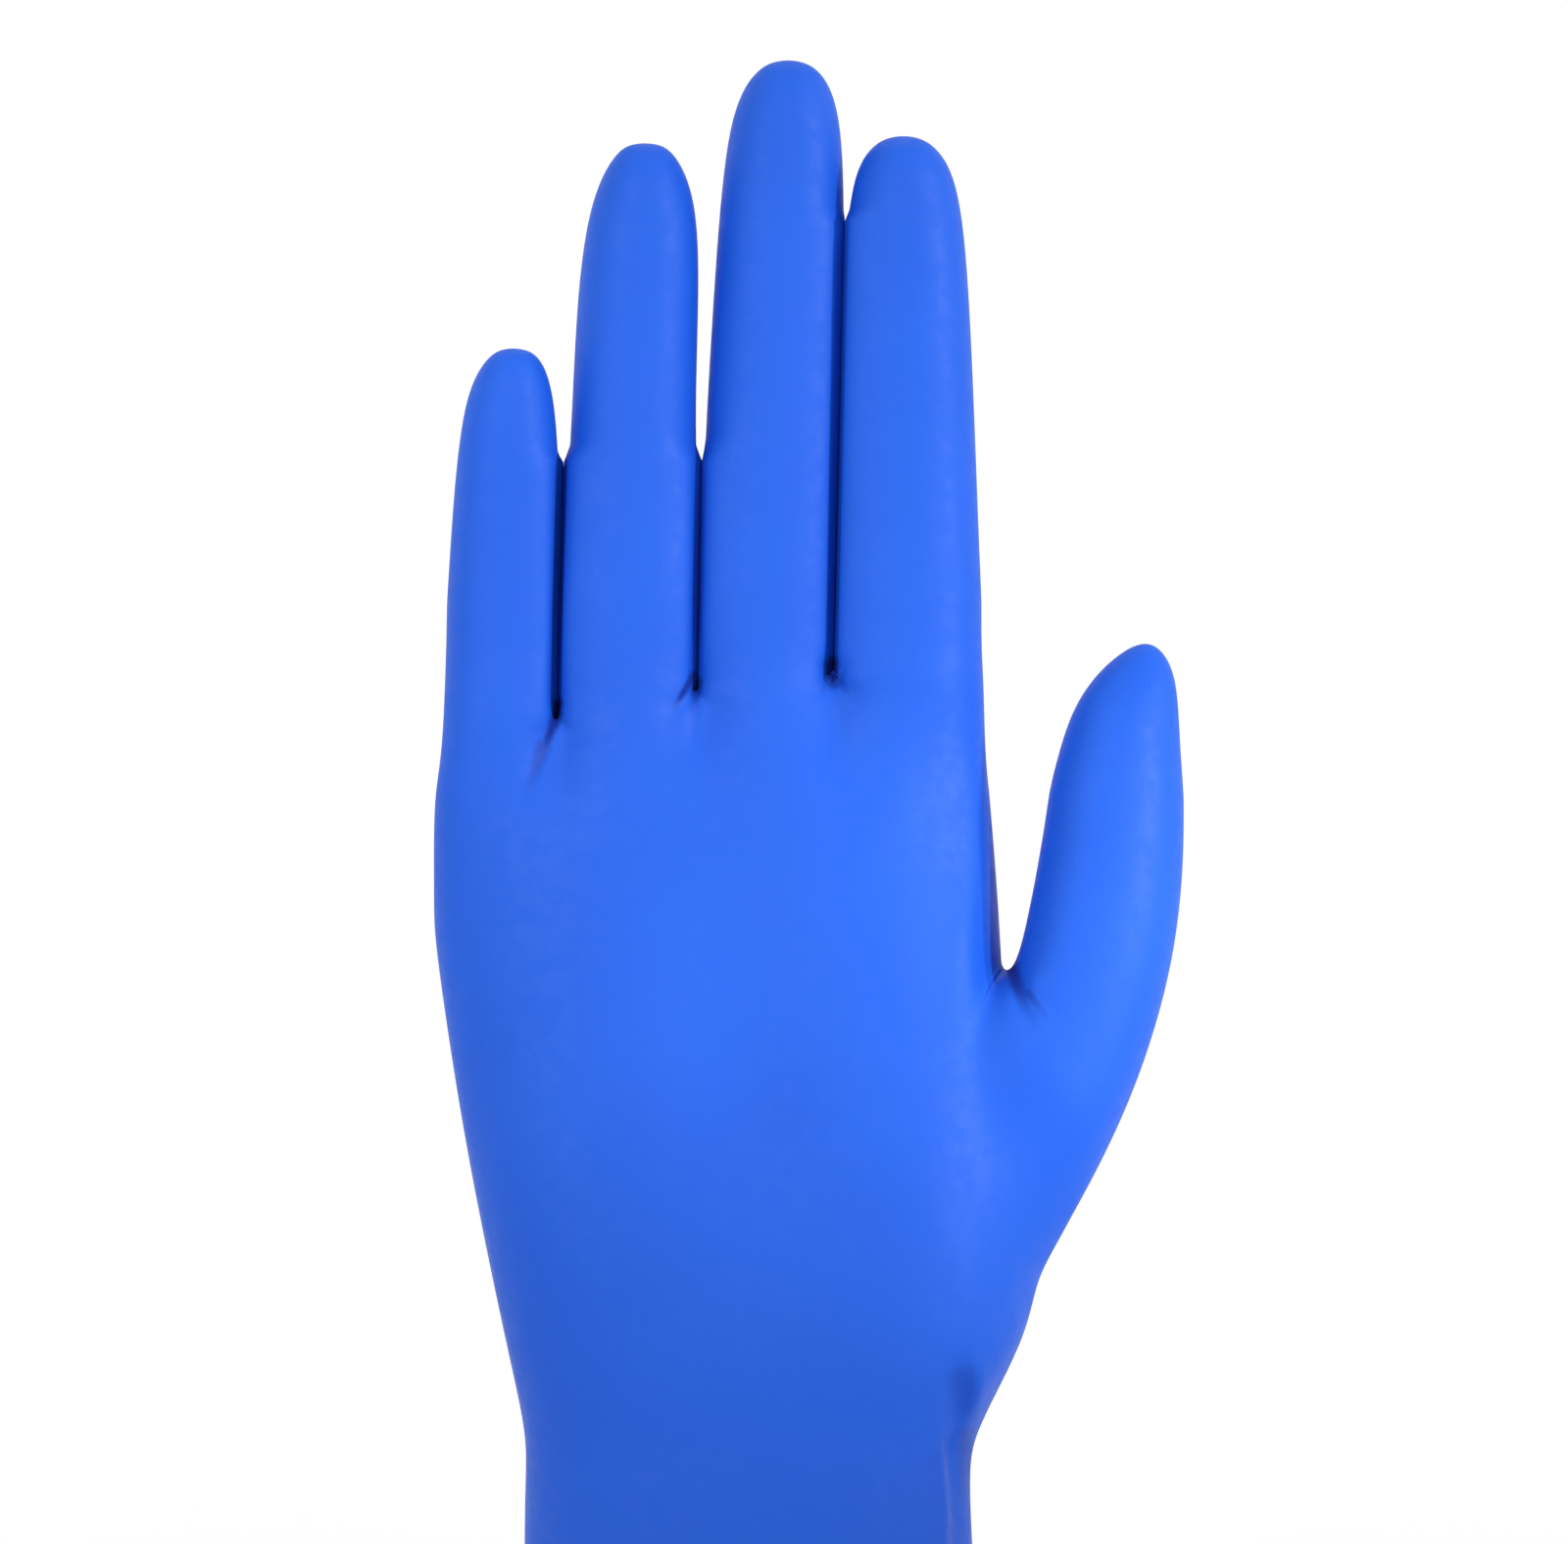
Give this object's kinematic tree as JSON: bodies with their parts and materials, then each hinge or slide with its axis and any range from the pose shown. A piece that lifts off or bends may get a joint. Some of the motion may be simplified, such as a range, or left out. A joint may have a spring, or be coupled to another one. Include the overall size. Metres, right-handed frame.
{
  "type": "nitrile exam glove",
  "caption": "Thin stretchy disposable glove for a right hand, shaped as a hand fills it, with an open cuff ending in a rolled bead.",
  "frame": {"origin": "middle of the cuff's mouth, on the plane that the rolled bead touches", "axes": "+Z from the cuff's mouth to the fingertips, the palm faces -Y and the thumb is at +X"},
  "size_m": [0.1043, 0.0518, 0.2396],
  "materials": {
    "nitrile": "smooth satin blue nitrile film"
  },
  "bodies": {
    "root": {"glove_shell": "nitrile"}
  },
  "joints": []
}
